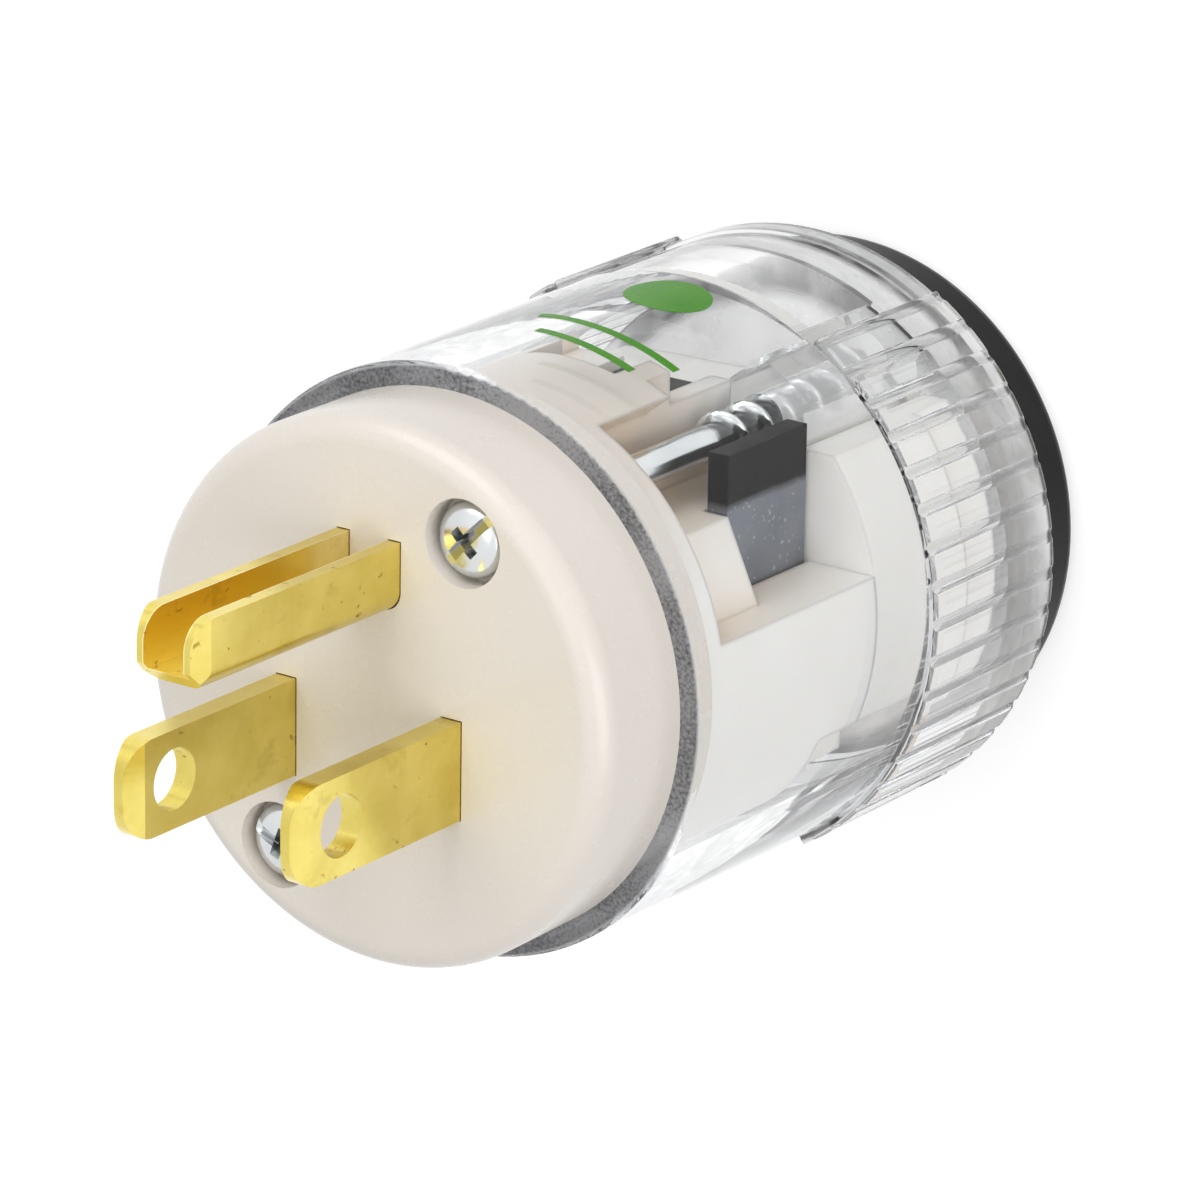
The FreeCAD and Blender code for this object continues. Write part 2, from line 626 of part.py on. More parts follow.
add_circle(taps, minus(TERMINAL_X), "blade_y", "terminal_radius + terminal_gap")
add_circle(taps, "0", "terminal_ground_y", "terminal_radius + terminal_gap")
pocket(block, taps, "terminal_rise", "block_tap_cut")

# Wire guide: white piece behind the terminal body with a hole for each conductor, a collar in the end wall
# and a leg below that leaves room for the lower boss.
guide = new_body("wire_guide")
guide_core = revolve(guide, [
    ("0", "cavity_end"),
    (SEAT, "cavity_end"),
    (SEAT, COLLAR_END),
    (COLLAR, COLLAR_END),
    (COLLAR, "cavity_end"),
    (GUIDE_RIM, "cavity_end"),
    (GUIDE_RIM, "guide_step"),
    (BODY, "guide_step"),
    (BODY, "body_rear"),
    ("0", "body_rear"),
], "guide_core")
flat = new_sketch(guide, "XY_Plane", "guide_flat", "cavity_end")
add_box(flat, minus(BEYOND), minus(SCREW_X + " - boss_radius - guide_gap"), minus(BEYOND), GUIDE_LOW)
add_box(flat, "notch_x", BEYOND, minus(BEYOND), GUIDE_LOW)
add_box(flat, minus(BEYOND), BEYOND, SCREW_Y + " - guide_top_drop", BEYOND)
pocket(guide, flat, "body_rear - cavity_end", "guide_flat_cut")
channel = new_sketch(guide, "XY_Plane", "guide_channel", "cavity_end")
add_circle(channel, SCREW_X, SCREW_Y, "boss_radius + boss_gap")
pocket(guide, channel, "body_rear - cavity_end", "guide_channel_cut")
wires = new_sketch(guide, "XY_Plane", "guide_wires", "cavity_end")
add_circle(wires, WIRE_X, WIRE_Y, "wire_hole_radius")
add_circle(wires, minus(WIRE_X), WIRE_Y, "wire_hole_radius")
add_circle(wires, "0", "wire_ground_y", "wire_hole_radius")
pocket(guide, wires, "body_rear - cavity_end", "guide_wire_cut")
well = new_sketch(guide, "XY_Plane", "guide_well", "cavity_end")
add_circle(well, "0", "0", WELL)
pocket(guide, well, "well_end - cavity_end", "guide_well_cut")

# Hot blade: flat brass blade with a foot for its terminal screw.
hot = new_body("hot_blade")
blade_tip = "face_plane + blade_out"
blade_sketch = new_sketch(hot, "XY_Plane", "blade_profile", "foot_plane")
add_box(blade_sketch, "blade_x - 0.5*blade_thick", "blade_x + 0.5*blade_thick",
        "blade_y - 0.5*blade_wide", "blade_y + 0.5*blade_wide")
blade_strip = pad(hot, blade_sketch, blade_tip + " - foot_plane", "blade_strip")
foot_sketch = new_sketch(hot, "XY_Plane", "foot_profile", "foot_plane")
add_box(foot_sketch, "blade_x - 0.5*blade_thick", FOOT_END,
        "blade_y - 0.5*blade_wide", "blade_y + 0.5*blade_wide")
pad(hot, foot_sketch, "foot_thick", "blade_foot")
doc.recompute()
foot_tap = new_sketch(hot, "XY_Plane", "foot_tap", "foot_plane")
add_circle(foot_tap, TERMINAL_X, "blade_y", "terminal_radius + terminal_gap")
pocket(hot, foot_tap, "foot_thick", "foot_tap_cut")
tip_hole = new_sketch(hot, "YZ_Plane", "blade_hole")
add_circle(tip_hole, "blade_y", "face_plane + blade_hole_out", "blade_hole_radius")
blade_cut = pocket(hot, tip_hole, "2*blade_x", "blade_hole_cut")


def tip_corner(edge):
    box = edge.BoundBox
    across = near(box.XLength, number("blade_thick")) and near(box.YLength, 0)
    return across and near(box.ZMin, number(blade_tip))


round_edges(hot, blade_cut, tip_corner, "blade_corner", "blade_tip_round")
coin = new_sketch(hot, "XZ_Plane", "blade_coin_profile")
add_loop(coin, [
    ("blade_x + 0.5*blade_thick", blade_tip + " - blade_coin"),
    ("blade_x + blade_thick", blade_tip + " - blade_coin"),
    ("blade_x + blade_thick", blade_tip + " + blade_coin"),
    ("blade_x + 0.5*blade_thick - blade_coin_depth", blade_tip + " + blade_coin"),
    ("blade_x + 0.5*blade_thick - blade_coin_depth", blade_tip),
])
add_loop(coin, [
    ("blade_x - 0.5*blade_thick", blade_tip + " - blade_coin"),
    ("blade_x - blade_thick", blade_tip + " - blade_coin"),
    ("blade_x - blade_thick", blade_tip + " + blade_coin"),
    ("blade_x - 0.5*blade_thick + blade_coin_depth", blade_tip + " + blade_coin"),
    ("blade_x - 0.5*blade_thick + blade_coin_depth", blade_tip),
])
pocket(hot, coin, "blade_wide - blade_y", "blade_coin_cut")

# Neutral blade: mirror image of the hot blade.
neutral = doc.addObject("Part::Mirroring", "neutral_blade")
neutral.Label = "neutral_blade"
neutral.Source = hot
neutral.Normal = FreeCAD.Vector(1, 0, 0)

# Ground pin: brass sheet folded to a trough that is open upwards.
ground = new_body("ground_pin")
pin_tip = "face_plane + ground_out"
trough = new_sketch(ground, "XY_Plane", "ground_profile", "foot_plane")
add_loop(trough, trough_outline("0"))
trough_pad = pad(ground, trough, pin_tip + " - foot_plane", "ground_trough")
doc.recompute()


def fold_edge(edge):
    box = edge.BoundBox
    return near(box.YMax, number(GROUND_LOW)) and box.ZLength > number("ground_out")


trough_fold = round_edges(ground, trough_pad, fold_edge, "ground_fold", "ground_fold_round")


def nose_edge(edge):
    box = edge.BoundBox
    return near(box.ZMin, number(pin_tip)) and near(box.YMin, number(GROUND_HIGH)) and near(box.YLength, 0)


round_edges(ground, trough_fold, nose_edge, "ground_nose", "ground_nose_round")
nose_cut = new_sketch(ground, "YZ_Plane", "ground_nose_profile", minus("ground_half"))
add_loop(nose_cut, [
    (GROUND_LOW, pin_tip + " - ground_nose_cut"),
    (GROUND_LOW + " - ground_wall", pin_tip + " - ground_nose_cut"),
    (GROUND_LOW + " - ground_wall", pin_tip + " + ground_wall"),
    (GROUND_LOW + " + ground_nose_cut", pin_tip + " + ground_wall"),
    (GROUND_LOW + " + ground_nose_cut", pin_tip),
])
pocket(ground, nose_cut, "2*ground_half", "ground_nose_cut")
pin_coin = new_sketch(ground, "XZ_Plane", "ground_coin_profile", minus(GROUND_HIGH))
for turn in (False, True):
    outline = [
        ("ground_half", pin_tip + " - ground_coin"),
        ("ground_half + ground_wall", pin_tip + " - ground_coin"),
        ("ground_half + ground_wall", pin_tip + " + ground_wall"),
        ("ground_half - ground_coin_depth", pin_tip + " + ground_wall"),
        ("ground_half - ground_coin_depth", pin_tip),
    ]
    add_loop(pin_coin, [(minus(x), y) for x, y in outline] if turn else outline)
pocket(ground, pin_coin, "2*ground_tall", "ground_coin_cut")
ground_foot = new_sketch(ground, "XY_Plane", "ground_foot_profile", "foot_plane")
add_box(ground_foot, minus("ground_foot_half"), "ground_foot_half",
        "ground_foot_low", GROUND_LOW + " + ground_wall")
pad(ground, ground_foot, "foot_thick", "ground_foot")
doc.recompute()
ground_tap = new_sketch(ground, "XY_Plane", "ground_tap", "foot_plane")
add_circle(ground_tap, "0", "terminal_ground_y", "terminal_radius + terminal_gap")
pocket(ground, ground_tap, "foot_thick", "ground_tap_cut")

# Terminal clamps: dark steel plates that press the conductors on the feet.
clamp = new_body("hot_clamp")
clamp_sketch = new_sketch(clamp, "XY_Plane", "clamp_profile", "foot_plane - clamp_thick")
add_box(clamp_sketch, "clamp_inner_x", FOOT_END, "clamp_low_y", "clamp_high_y")
pad(clamp, clamp_sketch, "clamp_thick", "clamp_plate")
flange_sketch = new_sketch(clamp, "XY_Plane", "clamp_flange_profile", FLANGE_REAR)
add_box(flange_sketch, FLANGE_IN, FLANGE_OUT, "flange_low_y", FLANGE_HIGH)
pad(clamp, flange_sketch, "foot_plane - body_rear - flange_rear_gap", "clamp_flange")
doc.recompute()
clamp_hole = new_sketch(clamp, "XY_Plane", "clamp_hole", "foot_plane - clamp_thick")
add_circle(clamp_hole, TERMINAL_X, "blade_y", "terminal_radius + terminal_gap")
pocket(clamp, clamp_hole, "clamp_thick", "clamp_hole_cut")
neutral_clamp = doc.addObject("Part::Mirroring", "neutral_clamp")
neutral_clamp.Label = "neutral_clamp"
neutral_clamp.Source = clamp
neutral_clamp.Normal = FreeCAD.Vector(1, 0, 0)
ground_clamp = new_body("ground_clamp")
ground_plate = new_sketch(ground_clamp, "XY_Plane", "ground_clamp_profile", "foot_plane - clamp_thick")
add_box(ground_plate, minus("ground_foot_half"), "ground_foot_half", "ground_foot_low", GROUND_FLANGE)
pad(ground_clamp, ground_plate, "clamp_thick", "ground_clamp_plate")
ground_flange = new_sketch(ground_clamp, "XY_Plane", "ground_clamp_flange_profile", FLANGE_REAR)
add_box(ground_flange, minus("ground_foot_half"), "ground_foot_half",
        GROUND_FLANGE + " - clamp_thick", GROUND_FLANGE)
pad(ground_clamp, ground_flange, "foot_plane - body_rear - flange_rear_gap", "ground_clamp_flange")
doc.recompute()
ground_hole = new_sketch(ground_clamp, "XY_Plane", "ground_clamp_hole", "foot_plane - clamp_thick")
add_circle(ground_hole, "0", "terminal_ground_y", "terminal_radius + terminal_gap")
pocket(ground_clamp, ground_hole, "clamp_thick", "ground_clamp_hole_cut")


def terminal_screw(label, at_x, at_y):
    """Slotted terminal screw whose head faces the rear."""
    body = new_body(label)
    seat = "foot_plane - clamp_thick"
    revolve(body, [
        ("0", seat + " - terminal_head_tall"),
        ("terminal_head_radius", seat + " - terminal_head_tall"),
        ("terminal_head_radius", seat),
        ("terminal_radius", seat),
        ("terminal_radius", "foot_plane + terminal_rise"),
        ("0", "foot_plane + terminal_rise"),
    ], label + "_turned", at_x, at_y)
    slot = new_sketch(body, "XY_Plane", label + "_slot", seat + " - terminal_head_tall")
    x_low = "0 - 1.2*terminal_head_radius" if at_x == "0" else at_x + " - 1.2*terminal_head_radius"
    x_high = "1.2*terminal_head_radius" if at_x == "0" else at_x + " + 1.2*terminal_head_radius"
    add_box(slot, x_low, x_high, at_y + " - 0.5*slot_wide", at_y + " + 0.5*slot_wide")
    pocket(body, slot, "slot_deep", label + "_slot_cut")
    return body


hot_screw = terminal_screw("hot_terminal_screw", TERMINAL_X, "blade_y")
neutral_screw = terminal_screw("neutral_terminal_screw", minus(TERMINAL_X), "blade_y")
ground_screw = terminal_screw("ground_terminal_screw", "0", "terminal_ground_y")

# Assembly screws: two long screws from the face into the bosses of the housing.
screw = new_body("assembly_screw_right")
seat_height = "face_plane - screw_sink"
revolve(screw, [
    ("0", "screw_tip"),
    ("0.3*screw_thread_radius", "screw_tip"),
    ("screw_thread_radius", "screw_tip + screw_point"),
    ("screw_thread_radius", "screw_thread_top"),
    ("screw_shank_radius", "screw_thread_top + screw_thread_fade"),
    ("screw_shank_radius", seat_height),
    ("screw_head_radius", seat_height),
    ("screw_head_radius", seat_height + " + 0.45*screw_head_tall"),
    ("0.86*screw_head_radius", seat_height + " + 0.74*screw_head_tall"),
    ("0.58*screw_head_radius", seat_height + " + 0.93*screw_head_tall"),
    ("0", seat_height + " + screw_head_tall"),
], "screw_turned", SCREW_X, SCREW_Y)
screw_slot = new_sketch(screw, "XY_Plane", "screw_slot", seat_height + " + screw_head_tall")
add_box(screw_slot, SCREW_X + " - 1.2*screw_head_radius", SCREW_X + " + 1.2*screw_head_radius",
        SCREW_Y + " - 0.5*slot_wide", SCREW_Y + " + 0.5*slot_wide")
pocket(screw, screw_slot, "slot_deep", "screw_slot_cut", False)
screw_left = doc.addObject("Part::Mirroring", "assembly_screw_left")
screw_left.Source = screw
screw_left.Normal = FreeCAD.Vector(number(SCREW_X), number(SCREW_Y), 0)
bind(screw_left, "Normal.x", SCREW_X)
bind(screw_left, "Normal.y", SCREW_Y)
screws = doc.addObject("Part::Compound", "assembly_screws")
screws.Label = "assembly_screws"
screws.Links = [screw, screw_left]

# Rear cap with the cord seal and its washer.
cap = new_body("rear_cap")
CAP = GRIP + " - cap_inset"
cap_core = revolve(cap, [
    ("cap_bore_radius", "0"),
    (CAP, "0"),
    (CAP, "cap_lip"),
    (CAP + " - cap_step", "cap_lip"),
    (CAP + " - cap_step", "housing_rear - cap_relief"),
    ("gland_radius + cap_seat", "housing_rear - cap_relief"),
    ("gland_radius + cap_seat", "housing_rear"),
    (SEAT, "housing_rear"),
    (SEAT, "cap_floor"),
    ("cap_bore_radius", "cap_floor"),
], "cap_core")
round_edges(cap, cap_core, ring_edge(CAP, "0"), "cap_round", "cap_lip_round")
seal = new_body("cord_seal")
revolve(seal, [
    ("seal_bore_radius", "cap_floor"),
    (SEAL, "cap_floor"),
    (SEAL, SEAL_END),
    ("seal_bore_radius", SEAL_END),
], "seal_ring")
washer = new_body("seal_washer")
revolve(washer, [
    (WASHER_BORE, SEAL_END),
    (SEAL, SEAL_END),
    (SEAL, "cavity_end"),
    (WASHER_BORE, "cavity_end"),
], "washer_ring")

# Cord clamp: two jaws in the well of the wire guide, drawn together by two slotted screws.
upper_jaw = new_body("cord_clamp_upper")
jaw_sketch = new_sketch(upper_jaw, "XY_Plane", "jaw_profile", "cavity_end")
add_circle(jaw_sketch, "0", "0", WELL + " - jaw_gap")
pad(upper_jaw, jaw_sketch, "jaw_long", "jaw_block")
doc.recompute()
jaw_half = new_sketch(upper_jaw, "XY_Plane", "jaw_half", "cavity_end")
add_box(jaw_half, minus(BODY), BODY, minus(BODY), "jaw_split")
pocket(upper_jaw, jaw_half, "jaw_long", "jaw_half_cut")
jaw_bore = new_sketch(upper_jaw, "XY_Plane", "jaw_bore", "cavity_end")
add_circle(jaw_bore, "0", "0", "jaw_bore_radius")
pocket(upper_jaw, jaw_bore, "jaw_long", "jaw_bore_cut")
jaw_holes = new_sketch(upper_jaw, "XZ_Plane", "jaw_holes")
add_circle(jaw_holes, JAW_SCREW_X, "cavity_end + 0.5*jaw_long", "jaw_screw_radius + jaw_screw_gap")
add_circle(jaw_holes, minus(JAW_SCREW_X), "cavity_end + 0.5*jaw_long", "jaw_screw_radius + jaw_screw_gap")
pocket(upper_jaw, jaw_holes, BODY, "jaw_hole_cut", False)
jaw_sinks = new_sketch(upper_jaw, "XZ_Plane", "jaw_sinks", minus("jaw_seat"))
add_circle(jaw_sinks, JAW_SCREW_X, "cavity_end + 0.5*jaw_long", "jaw_head_radius + jaw_head_gap")
add_circle(jaw_sinks, minus(JAW_SCREW_X), "cavity_end + 0.5*jaw_long", "jaw_head_radius + jaw_head_gap")
pocket(upper_jaw, jaw_sinks, BODY, "jaw_sink_cut", False)
lower_jaw = doc.addObject("Part::Mirroring", "cord_clamp_lower")
lower_jaw.Label = "cord_clamp_lower"
lower_jaw.Source = upper_jaw
lower_jaw.Normal = FreeCAD.Vector(0, 1, 0)
jaw_screw = new_body("clamp_screw_right")
jaw_screw_round = new_sketch(jaw_screw, "XZ_Plane", "clamp_screw_profile", minus("jaw_seat"))
add_circle(jaw_screw_round, JAW_SCREW_X, "cavity_end + 0.5*jaw_long", "jaw_screw_radius")
pad(jaw_screw, jaw_screw_round, "jaw_screw_long", "clamp_screw_rod")
JAW_HEAD_TOP = minus("jaw_seat + jaw_head_tall")
jaw_screw_head = new_sketch(jaw_screw, "XZ_Plane", "clamp_screw_head_profile", JAW_HEAD_TOP)
add_circle(jaw_screw_head, JAW_SCREW_X, "cavity_end + 0.5*jaw_long", "jaw_head_radius")
pad(jaw_screw, jaw_screw_head, "jaw_head_tall", "clamp_screw_head")
doc.recompute()
jaw_screw_slot = new_sketch(jaw_screw, "XZ_Plane", "clamp_screw_slot", JAW_HEAD_TOP)
add_box(jaw_screw_slot, JAW_SCREW_X + " - 2*jaw_head_radius", JAW_SCREW_X + " + 2*jaw_head_radius",
        "cavity_end + 0.5*jaw_long - 0.25*slot_wide", "cavity_end + 0.5*jaw_long + 0.25*slot_wide")
pocket(jaw_screw, jaw_screw_slot, "0.6*jaw_head_tall", "clamp_screw_slot_cut")
jaw_screw_left = doc.addObject("Part::Mirroring", "clamp_screw_left")
jaw_screw_left.Source = jaw_screw
jaw_screw_left.Normal = FreeCAD.Vector(1, 0, 0)
clamp_screws = doc.addObject("Part::Compound", "clamp_screws")
clamp_screws.Label = "clamp_screws"
clamp_screws.Links = [jaw_screw, jaw_screw_left]

doc.recompute()
NODES = [face, housing, block, guide, hot, neutral, ground, clamp, neutral_clamp, ground_clamp,
         hot_screw, neutral_screw, ground_screw, screws, cap, seal, washer,
         upper_jaw, lower_jaw, clamp_screws]
for item in doc.Objects:
    if "Invalid" in item.State or "Error" in item.State:
        raise RuntimeError("broken object " + item.Name)
os.makedirs("parts", exist_ok=True)
for node in NODES:
    if not node.Shape.isValid() or not node.Shape.Solids:
        raise RuntimeError("bad shape " + node.Label)
    node.Shape.exportStep("parts/%s.step" % node.Label)
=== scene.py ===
import json
import math

import bmesh
import bpy
from mathutils import Matrix, Vector


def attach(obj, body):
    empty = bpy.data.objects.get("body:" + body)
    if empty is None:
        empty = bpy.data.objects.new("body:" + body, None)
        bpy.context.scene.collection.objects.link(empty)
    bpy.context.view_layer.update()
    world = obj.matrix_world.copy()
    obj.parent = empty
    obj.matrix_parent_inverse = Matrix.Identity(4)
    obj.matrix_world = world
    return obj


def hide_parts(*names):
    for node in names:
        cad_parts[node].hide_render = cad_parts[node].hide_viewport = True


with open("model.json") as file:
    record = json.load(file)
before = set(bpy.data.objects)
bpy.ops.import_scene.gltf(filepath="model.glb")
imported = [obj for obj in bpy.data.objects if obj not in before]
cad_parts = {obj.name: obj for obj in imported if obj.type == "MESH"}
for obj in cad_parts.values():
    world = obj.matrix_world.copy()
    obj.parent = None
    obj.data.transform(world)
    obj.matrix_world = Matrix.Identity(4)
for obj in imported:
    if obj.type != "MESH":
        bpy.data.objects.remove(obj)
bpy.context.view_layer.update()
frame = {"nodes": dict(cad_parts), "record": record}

scene = bpy.context.scene
nodes = frame["nodes"]
MM = 0.001

# Sizes of the plug in millimetres: heights from the rear face, radii from the axis
HOUSING_REAR, WALL_FRONT, GRIP_FRONT, BOSS_FRONT, TUBE_FRONT = 6.3, 10.0, 20.3, 22.0, 45.0
TUBE_R, TUBE_DRAFT, GROOVE_FLOOR, BOSS_R = 19.1, 0.23, 19.6, 3.3
PIN_INSIDE_HALF, PIN_INSIDE_LOW = 1.56, 6.70
SCREW_CIRCLE, SCREW_ANGLE = 13.33, math.radians(58)
SCREW_AT = (SCREW_CIRCLE * math.cos(SCREW_ANGLE), SCREW_CIRCLE * math.sin(SCREW_ANGLE))
TIP, THREAD_TOP, SEAT, HEAD_TOP = 13.4, 28.2, 51.1, 52.9
CORE, CREST, SHANK, HEAD = 1.04, 1.64, 1.09, 2.44


# Node helpers

def new_material(name):
    """A node material with only an output and a Principled shader."""
    mat = bpy.data.materials.new(name)
    mat.use_nodes = True
    tree = mat.node_tree
    tree.nodes.clear()
    out = tree.nodes.new("ShaderNodeOutputMaterial")
    bsdf = tree.nodes.new("ShaderNodeBsdfPrincipled")
    tree.links.new(bsdf.outputs["BSDF"], out.inputs["Surface"])
    return mat, tree, bsdf


def coords(tree, scale=(1, 1, 1)):
    """Object coordinates, stretched by scale."""
    tex = tree.nodes.new("ShaderNodeTexCoord")
    mapping = tree.nodes.new("ShaderNodeMapping")
    mapping.inputs["Scale"].default_value = scale
    tree.links.new(tex.outputs["Object"], mapping.inputs["Vector"])
    return mapping.outputs["Vector"]


def place(tree):
    """Separate x, y and z of a point of the object, in millimetres."""
    split = tree.nodes.new("ShaderNodeSeparateXYZ")
    tree.links.new(coords(tree, (1000, 1000, 1000)), split.inputs["Vector"])
    return split.outputs["X"], split.outputs["Y"], split.outputs["Z"]


def noise(tree, vector, scale, detail=3.0, rough=0.5):
    tex = tree.nodes.new("ShaderNodeTexNoise")
    tex.inputs["Scale"].default_value = scale
    tex.inputs["Detail"].default_value = detail
    tex.inputs["Roughness"].default_value = rough
    tree.links.new(vector, tex.inputs["Vector"])
    return tex.outputs["Fac"]


def ramp(tree, fac, stops):
    """Colour ramp from (position, colour) pairs."""
    node = tree.nodes.new("ShaderNodeValToRGB")
    elements = node.color_ramp.elements
    while len(elements) < len(stops):
        elements.new(0.5)
    for element, (pos, colour) in zip(elements, stops):
        element.position = pos
        element.color = (*colour, 1.0)
    tree.links.new(fac, node.inputs["Fac"])
    return node.outputs["Color"]


def span(tree, fac, low, high, start=0.0, end=1.0):
    """Maps start..end to low..high and keeps to these ends outside."""
    node = tree.nodes.new("ShaderNodeMapRange")
    node.inputs["From Min"].default_value = start
    node.inputs["From Max"].default_value = end
    node.inputs["To Min"].default_value = low
    node.inputs["To Max"].default_value = high
    tree.links.new(fac, node.inputs["Value"])
    return node.outputs["Result"]


def above(tree, value, start, end, level=1.0):
    """Mask that rises from zero at start to level at end."""
    return span(tree, value, 0.0, level, start, end)


def below(tree, value, start, end, level=1.0):
    """Mask that falls from level at start to zero at end."""
    return span(tree, value, level, 0.0, start, end)


def maths(tree, operation, *values):
    node = tree.nodes.new("ShaderNodeMath")
    node.operation = operation
    for socket, value in zip(node.inputs, values):
        if isinstance(value, (int, float)):
            socket.default_value = value
        else:
            tree.links.new(value, socket)
    return node.outputs["Value"]


def product(tree, result, *others):
    for value in others:
        result = maths(tree, "MULTIPLY", result, value)
    return result


def largest(tree, result, *others):
    for value in others:
        result = maths(tree, "MAXIMUM", result, value)
    return result


def mixed(tree, fac, low, high):
    """Mix of two colours; each is a socket or a plain colour."""
    node = tree.nodes.new("ShaderNodeMix")
    node.data_type = "RGBA"
    tree.links.new(fac, node.inputs[0])
    for socket, value in ((node.inputs[6], low), (node.inputs[7], high)):
        if isinstance(value, tuple):
            socket.default_value = (*value, 1.0)
        else:
            tree.links.new(value, socket)
    return node.outputs[2]


def shader_mix(tree, fac, low, high):
    node = tree.nodes.new("ShaderNodeMixShader")
    for socket, value in zip(node.inputs, (fac, low, high)):
        tree.links.new(value, socket)
    return node.outputs["Shader"]


def bump(tree, height, bsdf, strength, distance):
    node = tree.nodes.new("ShaderNodeBump")
    node.inputs["Strength"].default_value = strength
    node.inputs["Distance"].default_value = distance
    tree.links.new(height, node.inputs["Height"])
    tree.links.new(node.outputs["Normal"], bsdf.inputs["Normal"])
    return node


def seen_directly(tree):
    """One for what the camera sees, also in a reflection or through clear plastic; zero for lighting."""
    light = tree.nodes.new("ShaderNodeLightPath")
    kinds = ("Is Camera Ray", "Is Glossy Ray", "Is Transmission Ray")
    return largest(tree, *[light.outputs[kind] for kind in kinds])


# Materials

# Painted shade: a warm tone over the upper part of the white nylon, and how far the painted crease shade
# reaches
UPPER_PAINTED_SHADE = (0.62, 0.52, 0.43)
PAINTED_SHADE_REACH = 8 * MM


def moulded(name, tones, rough, scale=260.0, subsurface=0.0, gloss=0.5, edge=0.0, crease_shade=None, waviness=0.05):
    """Moulded plastic: two close tones, an uneven gloss and fine surface waves.

    An edge size rounds the look of sharp edges. A colour for painted shade darkens the creases and recesses
    of the piece itself and paints a warm shade over its upper part.
    """
    mat, tree, bsdf = new_material(name)
    vec = coords(tree)
    colour = ramp(tree, noise(tree, vec, scale), [(0.3, tones[0]), (0.7, tones[1])])
    if crease_shade:
        # Painted shade: a warm darker tone over the upper part, from y 6 mm and z 24 mm onwards
        x, y, z = place(tree)
        upper = product(tree, above(tree, y, 6.0, 13.0, 0.6), above(tree, z, 24.0, 30.0))
        colour = mixed(tree, upper, colour, UPPER_PAINTED_SHADE)
        # Painted shade: darker in the creases and recesses of the piece itself
        shade = tree.nodes.new("ShaderNodeAmbientOcclusion")
        shade.only_local = True
        shade.samples = 2
        shade.inputs["Distance"].default_value = PAINTED_SHADE_REACH
        colour = mixed(tree, shade.outputs["AO"], crease_shade, colour)
    tree.links.new(colour, bsdf.inputs["Base Color"])
    tree.links.new(span(tree, noise(tree, vec, scale * 4), *rough), bsdf.inputs["Roughness"])
    bsdf.inputs["IOR"].default_value = 1.5
    bsdf.inputs["Specular IOR Level"].default_value = gloss
    if subsurface:
        bsdf.inputs["Subsurface Weight"].default_value = subsurface
        bsdf.inputs["Subsurface Radius"].default_value = (1.0, 0.8, 0.6)
        bsdf.inputs["Subsurface Scale"].default_value = 1.2 * MM
    waves = bump(tree, noise(tree, vec, scale * 3), bsdf, waviness, 0.1 * MM)
    if edge:
        rounded = tree.nodes.new("ShaderNodeBevel")
        rounded.samples = 3
        rounded.inputs["Radius"].default_value = edge * MM
        tree.links.new(rounded.outputs["Normal"], waves.inputs["Normal"])
    return mat


STRIP_GRAIN = (900, 900, 90)
# Painted light: the lighter golden tone of the inner faces of the ground pin's fold
PIN_INSIDE_PAINTED_LIGHT = (0.95, 0.82, 0.36)


def pin_inside_light(tree):
    """Where painted light goes: one on the inner faces of the folded ground pin and zero on the other strips.
    """
    x, y, z = place(tree)
    middle = below(tree, maths(tree, "ABSOLUTE", x), PIN_INSIDE_HALF, PIN_INSIDE_HALF + 0.06)
    return product(tree, middle, above(tree, y, PIN_INSIDE_LOW, PIN_INSIDE_LOW + 0.06))


def metal(name, tones, rough, pits=None):
    """Metal with fine grain along the strip and small tone changes, for the strips also with dark pits and
    with painted light on the inner faces of the ground pin's fold.
    """
    mat, tree, bsdf = new_material(name)
    bsdf.inputs["Metallic"].default_value = 1.0
    vec = coords(tree)
    tone = ramp(tree, noise(tree, vec, 320.0, 5.0, 0.6), [(0.28, tones[0]), (0.72, tones[1])])
    lines = noise(tree, coords(tree, STRIP_GRAIN), 1.0, 4.0, 0.6)
    shine = span(tree, lines, *rough)
    if pits:
        # Painted light: the inner faces of the ground pin's fold get a lighter golden tone
        tone = mixed(tree, pin_inside_light(tree), tone, PIN_INSIDE_PAINTED_LIGHT)
        speck = above(tree, noise(tree, vec, 1500.0, 2.0), 0.69, 0.77, 0.8)
        stain = above(tree, noise(tree, vec, 240.0, 4.0, 0.7), 0.60, 0.78, 0.45)
        mark = largest(tree, speck, stain)
        tone = mixed(tree, mark, tone, pits)
        shine = maths(tree, "ADD", shine, product(tree, mark, 0.15))
    tree.links.new(tone, bsdf.inputs["Base Color"])
    tree.links.new(shine, bsdf.inputs["Roughness"])
    bump(tree, lines, bsdf, 0.25, 0.04 * MM)
    return mat


PLATE_TONES = ((0.180, 0.192, 0.222), (0.232, 0.246, 0.278))
PLATE_DUST = (0.42, 0.43, 0.44)
# Colour of the painted shade along the top edge of the plate
PLATE_TOP_PAINTED_SHADE = (0.004, 0.003, 0.003)


